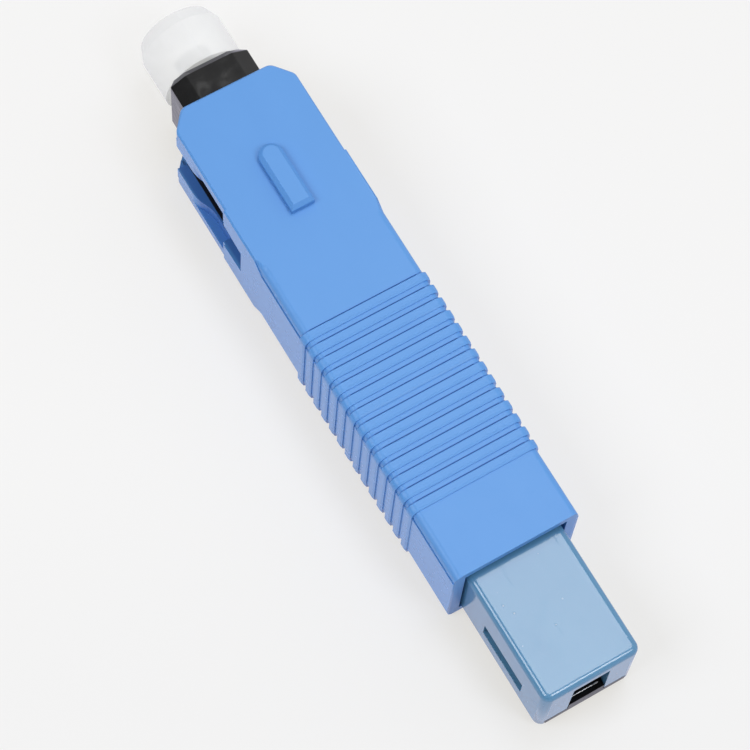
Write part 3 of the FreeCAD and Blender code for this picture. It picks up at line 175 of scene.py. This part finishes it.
def rgb(red, green, blue):
    """A display colour, 0 to 255, as the linear one that a shader takes."""
    def linear(value):
        value /= 255
        return value / 12.92 if value <= 0.04045 else ((value + 0.055) / 1.055) ** 2.4
    return (linear(red), linear(green), linear(blue), 1.0)


def plastic(name, base, deep, rough, grain, ior=1.46, wear=0.0, mottle=0.0):
    """Moulded plastic: faint flow marks, a fine grain, uneven gloss, and wear with painted glints where
    asked.
    """
    g = Graph(name)
    flow = g.noise(260, 4, 0.55, g.stretched(0.5, 1.2, 1.0))
    colour = g.blend(g.remap(flow, 0.35, 0.7, 0.0, 1.0), deep, base)
    gloss = g.remap(g.noise(900, 4, 0.6), 0.3, 0.7, rough * 0.85, rough * 1.2)
    normal = g.bump(g.noise(5200, 3, 0.6), grain, 0.02 * MM)
    if mottle:
        normal = g.bump(g.noise(420, 2, 0.5), mottle, 0.25 * MM, normal)
    if wear:
        colour, gloss, normal = wear_and_glints(g, colour, gloss, normal, wear)
    return g.finish(Base_Color=colour, Roughness=gloss, IOR=ior, Normal=normal)


def wear_and_glints(g, colour, gloss, normal, wear):
    """Nicks with painted glints in a pale colour, short scratches and dull scuffs over a finish."""
    scratches = g.remap(g.noise(1500, 2, 0.5, g.stretched(0.16, 2.2, 1.0)), 0.70, 0.74, 0.0, 1.0)
    specks = g.add("ShaderNodeTexVoronoi", {"Vector": g.coords, "Scale": 950.0}).outputs["Distance"]
    some = g.remap(g.noise(300, 2), 0.46, 0.5, 0.0, 1.0)
    nicks_and_glints = g.product(g.remap(specks, 0.045, 0.075, 1.0, 0.0), some)
    # painted glints: a pale colour over each nick stands in for a small glint on it; its bump and dullness
    # are real wear
    colour = g.blend(g.product(nicks_and_glints, 0.5), colour, rgb(226, 236, 244))
    marks = g.math("MAXIMUM", g.product(scratches, 0.5), nicks_and_glints)
    scuffed = g.remap(g.noise(420, 3, 0.6), 0.52, 0.7, 0.0, 0.12)
    gloss = g.math("ADD", g.math("ADD", gloss, scuffed), g.product(marks, wear))
    normal = g.bump(marks, 0.35, 0.02 * MM, normal)
    return colour, gloss, g.bump(g.noise(2300, 2, 0.5), 0.3, 0.012 * MM, normal)


def metal(name, base, rough, brushed):
    """Metal with fine lines left by drawing or turning."""
    g = Graph(name)
    lines = g.noise(3000, 2, 0.5, g.stretched(*brushed))
    darker = tuple(0.86 * channel for channel in base[:3]) + (1.0,)
    colour = g.blend(g.remap(lines, 0.3, 0.7, 0.0, 1.0), darker, base)
    gloss = g.remap(lines, 0.3, 0.7, rough * 0.7, rough * 1.3)
    return g.finish(Base_Color=colour, Metallic=1.0, Roughness=gloss, Normal=g.bump(lines, 0.2, 0.01 * MM))


# ---------------------------------------------------------------- shapes
def as_piece(name, mesh, body, slot, material, *nodes):
    """A new object that rides on a body, and stands for the CAD nodes that are named."""
    piece = bpy.data.objects.new(name, mesh)
    bpy.context.scene.collection.objects.link(piece)
    mesh.materials.clear()
    mesh.materials.append(material)
    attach(piece, body)
    if nodes:
        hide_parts(*nodes)
    return piece


def cutters(boxes):
    """One mesh of separate boxes, each given by its two far corners in millimetres."""
    work = bmesh.new()
    for low, high in boxes:
        low, high = Vector(low), Vector(high)
        made = bmesh.ops.create_cube(work, size=1)["verts"]
        bmesh.ops.scale(work, vec=high - low, verts=made)
        bmesh.ops.translate(work, vec=(low + high) / 2, verts=made)
    mesh = bpy.data.meshes.new("cutters")
    work.to_mesh(mesh)
    work.free()
    cutter = bpy.data.objects.new("cutters", mesh)
    bpy.context.scene.collection.objects.link(cutter)
    return cutter


def refined(node, name, slot, material, width, segments, sharp=33, crease=40,
            cuts=(), softness=None, shape=None):
    """The CAD node's own form with its sharp edges rounded. It is worked on in millimetres.

    Edges that turn by more than sharp degrees are rounded, and shading breaks where faces turn by more
    than crease degrees. The cuts are boxes taken off afterwards, softness says how much of the width an
    edge is given, and shape moves corners first.
    """
    mesh = bpy.data.meshes.new(name)
    work = bmesh.new()
    work.from_mesh(frame["nodes"][node].data)
    bmesh.ops.scale(work, vec=(1 / MM, 1 / MM, 1 / MM), verts=work.verts)
    bmesh.ops.remove_doubles(work, verts=work.verts, dist=WELD)
    bmesh.ops.dissolve_limit(work, angle_limit=FLAT, verts=work.verts, edges=work.edges)
    if shape:
        shape(work)
    weight = work.edges.layers.float.new("bevel_weight_edge")
    for edge in work.edges:
        if len(edge.link_faces) == 2 and edge.calc_face_angle() > math.radians(sharp):
            edge[weight] = softness([vert.co for vert in edge.verts]) if softness else 1.0
    work.to_mesh(mesh)
    work.free()
    worker = bpy.data.objects.new("worker", mesh)
    bpy.context.scene.collection.objects.link(worker)
    bevel = worker.modifiers.new("bevel", "BEVEL")
    bevel.width = width
    bevel.segments = segments
    bevel.limit_method = "WEIGHT"
    if cuts:
        cutter = cutters(cuts)
        groove = worker.modifiers.new("groove", "BOOLEAN")
        groove.operation = "DIFFERENCE"
        groove.solver = "EXACT"
        groove.object = cutter
    bpy.context.view_layer.update()
    made = bpy.data.meshes.new_from_object(worker.evaluated_get(bpy.context.evaluated_depsgraph_get()))
    bpy.data.objects.remove(worker)
    if cuts:
        bpy.data.objects.remove(cutter)
    made.transform(Matrix.Scale(MM, 4))
    made.name = name
    smooth(as_piece(name, made, BODY_OF[node], slot, material, node), crease)


def smooth(piece, angle=40):
    """Smooth shading that breaks at edges sharper than the angle."""
    piece.data.shade_smooth()
    piece.data.set_sharp_from_angle(angle=math.radians(angle))
    weighted = piece.modifiers.new("weighted", "WEIGHTED_NORMAL")
    weighted.keep_sharp = True


# ---------------------------------------------------------------- materials
def sleeve_plastic():
    """Matt blue with faint flow marks, glossier on its sides.

    Painted shade: by place, the inner ledges are painted near black, the walls inside the windows deep blue
    and the foot of each rib a deeper blue, for the shade in those recesses and creases.
    """
    g = Graph("sleeve_blue")
    split = g.add("ShaderNodeSeparateXYZ", {"Vector": g.coords})
    along = split.outputs["X"]
    across = g.math("ABSOLUTE", split.outputs["Y"])
    level = g.math("ABSOLUTE", g.math("SUBTRACT", split.outputs["Z"], AXIS * MM))
    flow = g.noise(260, 4, 0.55, g.stretched(0.5, 1.2, 1.0))
    colour = g.blend(g.remap(flow, 0.3, 0.75, 0.0, 1.0), rgb(87, 146, 213), rgb(89, 148, 215))

    # painted shade: the inner ledges and the walls inside the windows are painted darker by place, as shade
    # in those recesses
    ledge_shade = g.product(g.fade(across, LEDGE_SIDE, smooth=True), g.fade(level, LEDGE_LEVEL),
                      g.fade(along, LEDGE_END))
    window_shade = g.product(g.fade(across, WINDOW_SIDE, full=0.55),
                       g.product(g.fade(level, WINDOW_LEVEL), g.fade(along, WINDOW_END)))
    painted_shade = g.blend(ledge_shade, rgb(20, 70, 165), rgb(8, 14, 28))
    colour = g.blend(g.math("MAXIMUM", ledge_shade, window_shade), colour, painted_shade)

    past = g.math("SUBTRACT", along, (RIB_FEET[0] - RIB_PITCH) * MM)
    step = g.math("MODULO", g.math("DIVIDE", past, RIB_PITCH * MM), 1.0)
    foot = g.remap(step, *PAINTED_FOOT_BAND, 0.0, 1.0)
    ribbed = g.product(g.math("GREATER_THAN", along, FOOT_ZONE[0] * MM),
                       g.math("LESS_THAN", along, FOOT_ZONE[1] * MM))
    # painted shade: a deeper blue over the groove at each rib's front foot, as shade in that crease
    colour = g.blend(g.product(foot, ribbed, PAINTED_FOOT_SHADE), colour, rgb(28, 88, 176))

    sides = g.remap(across, OUTER_SIDE[0] * MM, OUTER_SIDE[1] * MM, 1.0, 0.66)
    gloss = g.product(sides, g.remap(g.noise(900, 4, 0.6), 0.3, 0.7, 0.40, 0.42))
    normal = g.bump(g.noise(5200, 3, 0.6), 0.07, 0.02 * MM)
    return g.finish(Base_Color=colour, Roughness=gloss, IOR=1.46, Normal=normal)


SLEEVE = sleeve_plastic()
TAIL = plastic("tail_teal", rgb(86, 136, 174), rgb(82, 132, 171), rough=0.1, grain=0.09, ior=1.58, wear=0.25)
BLACK = plastic("frame_black", rgb(22, 22, 23), rgb(12, 12, 13), rough=0.14, grain=0.12, ior=1.5, mottle=0.4)
HOLDER = plastic("holder_black", rgb(13, 13, 15), rgb(9, 9, 10), rough=0.3, grain=0.2, ior=1.3)
WHITE = plastic("slider_white", rgb(222, 224, 226), rgb(214, 216, 220), rough=0.4, grain=0.2)
GREY = plastic("splice_grey", rgb(150, 155, 160), rgb(140, 146, 152), rough=0.4, grain=0.2)
IVORY = plastic("lid_ivory", rgb(228, 222, 206), rgb(222, 214, 198), rough=0.42, grain=0.2)
CERAMIC = plastic("zirconia", rgb(240, 238, 232), rgb(236, 233, 226), rough=0.12, grain=0.05, ior=1.9)
NICKEL = metal("nickel", rgb(214, 210, 202), rough=0.22, brushed=(1.0, 6.0, 6.0))
STEEL = metal("spring_steel", rgb(196, 197, 200), rough=0.28, brushed=(0.3, 4.0, 4.0))


def translucent_cap():
    """Soft milky plastic that the background shows through."""
    g = Graph("cap_clear")
    cloudy = g.noise(500, 3)
    return g.finish(Base_Color=g.blend(cloudy, rgb(236, 238, 240), rgb(246, 247, 248)),
                    Roughness=g.remap(cloudy, 0.3, 0.7, 0.3, 0.42), IOR=1.42, Alpha=0.35,
                    Normal=g.bump(g.noise(3000, 2), 0.1, 0.01 * MM))


def glass_fibre():
    """Clear glass, a little uneven."""
    g = Graph("fibre_glass")
    colour = g.blend(g.noise(2000), rgb(225, 232, 240), rgb(240, 244, 250))
    gloss = g.remap(g.noise(4000), 0.3, 0.7, 0.04, 0.09)
    return g.finish(Base_Color=colour, Roughness=gloss, Transmission_Weight=0.9, IOR=1.46)


CAP = translucent_cap()
FIBRE = glass_fibre()

# ---------------------------------------------------------------- the connector's pieces
BODY_OF = {node: body for body, nodes in frame["record"]["behaviour"]["bodies"].items() for node in nodes}


def foot_cuts():
    """Fine grooves at the front foot of every grip rib, and creases along both sides above and below."""
    boxes = []
    for foot in RIB_FEET:
        front = foot - FOOT_WIDTH
        for sign in (1, -1):
            deep, out = sorted((AXIS + sign * (SLEEVE_HALF_HEIGHT - FOOT_DEPTH), AXIS + sign * CLEAR_TOP))
            boxes.append(((front, -TOP_REACH, deep), (foot, TOP_REACH, out)))
            deep, out = sorted((sign * (SLEEVE_HALF_WIDTH - FOOT_DEPTH), sign * CLEAR_SIDE))
            boxes.append(((front, deep, AXIS - SIDE_REACH), (foot, out, AXIS + SIDE_REACH)))
    for side in (1, -1):
        near, out = sorted((side * (SLEEVE_HALF_WIDTH - STEP_DEPTH - CREASE_DEPTH), side * CLEAR_SIDE))
        for sign in (1, -1):
            low, high = sorted(sign * level for level in CREASE_LEVEL)
            for start, end in CREASE_RUNS:
                boxes.append(((start, near, AXIS + low), (end, out, AXIS + high)))
    return boxes


def slope_ribs(work):
    """Lets each grip rib fall off in a short slope behind its crest."""
    for vert in work.verts:
        place = (vert.co.x - RIB_FEET[0]) / RIB_PITCH
        past = (place - math.floor(place)) * RIB_PITCH
        if -0.2 < place < RIB_COUNT and abs(past - RIB_WIDTH) < SAME_PLACE:
            vert.co.x += RIB_SLOPE


def sleeve_softness(spots):
    """How much an edge of the sleeve is rounded: the key most, the ribs and the small steps not at all."""
    top = AXIS + SLEEVE_HALF_HEIGHT - SAME_PLACE
    if all(spot.z > top and abs(spot.y) < KEY_REACH for spot in spots):
        return KEY_SOFTNESS
    return GRIP_SOFTNESS if all(GRIP_ZONE[0] < spot.x < GRIP_ZONE[1] for spot in spots) else BODY_SOFTNESS


refined("coupling_sleeve", "sleeve_shell", "sleeve_blue", SLEEVE, width=0.19, segments=5, crease=28,
        cuts=foot_cuts(), softness=sleeve_softness, shape=slope_ribs)
refined("plug_frame", "frame_shell", "frame_black", BLACK, width=0.04, segments=5, sharp=20, crease=21)
refined("tail_cover", "tail_shell", "tail_teal", TAIL, width=0.06, segments=3)
refined("cable_holder", "holder_shell", "holder_black", HOLDER, width=0.05, segments=2)
refined("rear_housing", "housing_shell", "housing_black", BLACK, width=0.05, segments=2)


def bed_lip():
    """The bright steel lip that shows inside the cable inlet, on the holder's bed."""
    length, height, rounding, inset, clear = 0.09 * MM, 0.07 * MM, 0.025 * MM, 0.4 * MM, 0.4 * MM
    low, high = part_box("grip_channel")
    work = bmesh.new()
    bmesh.ops.create_cube(work, size=1)
    bmesh.ops.scale(work, vec=(length, high.y - low.y - clear, height), verts=work.verts)
    bmesh.ops.bevel(work, geom=work.edges[:], offset=rounding, segments=3, affect="EDGES", profile=0.5)
    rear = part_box("cable_holder")[1].x
    bmesh.ops.translate(work, vec=(rear - inset, 0, low.z), verts=work.verts)
    mesh = bpy.data.meshes.new("bed_lip")
    work.to_mesh(mesh)
    work.free()
    smooth(as_piece("bed_lip", mesh, BODY_OF["grip_channel"], "spring_steel", STEEL))


def coil_spring():
    """The float spring's own coils, copied from its CAD node and riding on its body."""
    coils = as_piece("spring_coils", frame["nodes"]["float_spring"].data.copy(), BODY_OF["float_spring"],
                     "spring_steel", STEEL, "float_spring")
    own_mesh(coils)


bed_lip()
coil_spring()

# CAD nodes whose own shape shows
KEPT = {"dust_cap": CAP, "ferrule": CERAMIC, "ferrule_collar": NICKEL, "fibre_stub": FIBRE,
        "stop_ring": NICKEL, "splice_holder": GREY, "v_groove_base": GREY, "stub_lid": IVORY,
        "splice_lid": IVORY, "coating_lid": IVORY, "clamp_spring": STEEL, "lock_slider": WHITE,
        "entry_funnel": WHITE, "grip_channel": STEEL}
for node, material in KEPT.items():
    for slot in frame["nodes"][node].material_slots:
        slot.material = material


# ---------------------------------------------------------------- floor, light, camera
def floor_material():
    """White paper.

    The camera sees it as part light, so that the object's shadow stays faint, and reflections see it as
    all light. Its glow is painted a little weaker towards the near end, as a fall-off of light.
    """
    g = Graph("paper_floor")
    split = g.add("ShaderNodeSeparateXYZ", {"Vector": g.coords})
    rearward, leftward = 0.865, 0.534
    nearer = g.math("SUBTRACT", g.math("MULTIPLY", split.outputs["X"], rearward),
                    g.math("MULTIPLY", split.outputs["Y"], leftward))
    # painted light: the glow weakens a little towards the near end
    fall = g.remap(nearer, 4 * MM, 26 * MM, 1.0, 0.965, smooth=True)
    tone = g.product(fall, g.remap(g.noise(9, 3), 0.3, 0.7, 0.995, 1.005))
    grain = g.bump(g.noise(700, 3), 0.05, 0.05 * MM)
    path = g.add("ShaderNodeLightPath")
    paper = g.add("ShaderNodeBsdfDiffuse", {"Color": rgb(238, 238, 238), "Normal": grain})
    shaded = g.add("ShaderNodeBsdfDiffuse", {"Color": (0.25, 0.27, 0.315, 1), "Normal": grain})
    glow = g.add("ShaderNodeEmission", {"Color": (0.634, 0.609, 0.555, 1), "Strength": tone})
    mirrored = g.add("ShaderNodeEmission", {"Color": (0.95, 0.93, 1.07, 1), "Strength": 0.86})
    shown = g.join("ShaderNodeAddShader", shaded.outputs[0], glow.outputs[0])
    direct = g.join("ShaderNodeMixShader", paper.outputs[0], shown, {"Fac": path.outputs["Is Camera Ray"]})
    surface = g.join("ShaderNodeMixShader", direct, mirrored.outputs[0],
                     {"Fac": path.outputs["Is Glossy Ray"]})
    g.tree.links.new(surface, g.out.inputs["Surface"])
    return g.material


bpy.ops.mesh.primitive_grid_add(x_subdivisions=8, y_subdivisions=8, size=3.0, location=(0, 0, 0))
floor = bpy.context.object
floor.name = "floor"
floor.data.materials.append(floor_material())


def softbox(name, place, size, power):
    """A soft rectangular lamp that faces the object."""
    light = bpy.data.lights.new(name, "AREA")
    light.shape = "RECTANGLE"
    light.size, light.size_y = size
    light.energy = power
    lamp = bpy.data.objects.new(name, light)
    lamp.location = place
    lamp.rotation_euler = (-Vector(place)).to_track_quat("-Z", "Y").to_euler()
    bpy.context.scene.collection.objects.link(lamp)


def studio_world():
    """White to the camera. As light it is weaker, and it grows from the left side to the right."""
    world = bpy.data.worlds.new("studio")
    bpy.context.scene.world = world
    world.use_nodes = True
    nodes, links = world.node_tree.nodes, world.node_tree.links
    direction = nodes.new("ShaderNodeTexCoord")
    split = nodes.new("ShaderNodeSeparateXYZ")
    links.new(direction.outputs["Generated"], split.inputs["Vector"])
    fill = nodes.new("ShaderNodeMapRange")
    links.new(split.outputs["Y"], fill.inputs["Value"])
    for socket, value in {"From Min": -0.65, "From Max": 0.85, "To Min": 0.2, "To Max": 0.8}.items():
        fill.inputs[socket].default_value = value
    seen = nodes.new("ShaderNodeMix")
    seen.data_type = "FLOAT"
    seen.inputs["B"].default_value = 1.0
    links.new(nodes.new("ShaderNodeLightPath").outputs["Is Camera Ray"], seen.inputs["Factor"])
    links.new(fill.outputs["Result"], seen.inputs["A"])
    background = nodes["Background"]
    background.inputs["Color"].default_value = (1, 1, 1, 1)
    links.new(seen.outputs["Result"], background.inputs["Strength"])


def place_camera():
    """Above the object and towards its rear left, as the photograph was taken."""
    data = bpy.data.cameras.new("camera")
    data.sensor_width = 36.0
    data.lens = 139.03
    data.clip_start = 0.01
    data.clip_end = 5.0
    camera = bpy.data.objects.new("camera", data)
    place, turn = Vector((0.05823, -0.04302, 0.17673)), Vector((2.408, 1.388, -0.214))
    look = Matrix.Rotation(turn.length, 3, turn)
    axes = Matrix((look[0], -look[1], -look[2])).transposed()
    camera.matrix_world = Matrix.Translation(place) @ axes.to_4x4()
    bpy.context.scene.collection.objects.link(camera)
    bpy.context.scene.camera = camera


softbox("overhead", place=(-0.085, 0.135, 0.52), size=(0.2, 0.2), power=0.6)
softbox("left", place=(-0.03, -0.40, 0.48), size=(0.3, 0.3), power=1.7)
softbox("rear", place=(0.26, 0.11, 0.38), size=(0.12, 0.16), power=0.5)
studio_world()
place_camera()
bpy.context.scene.view_settings.view_transform = "Standard"
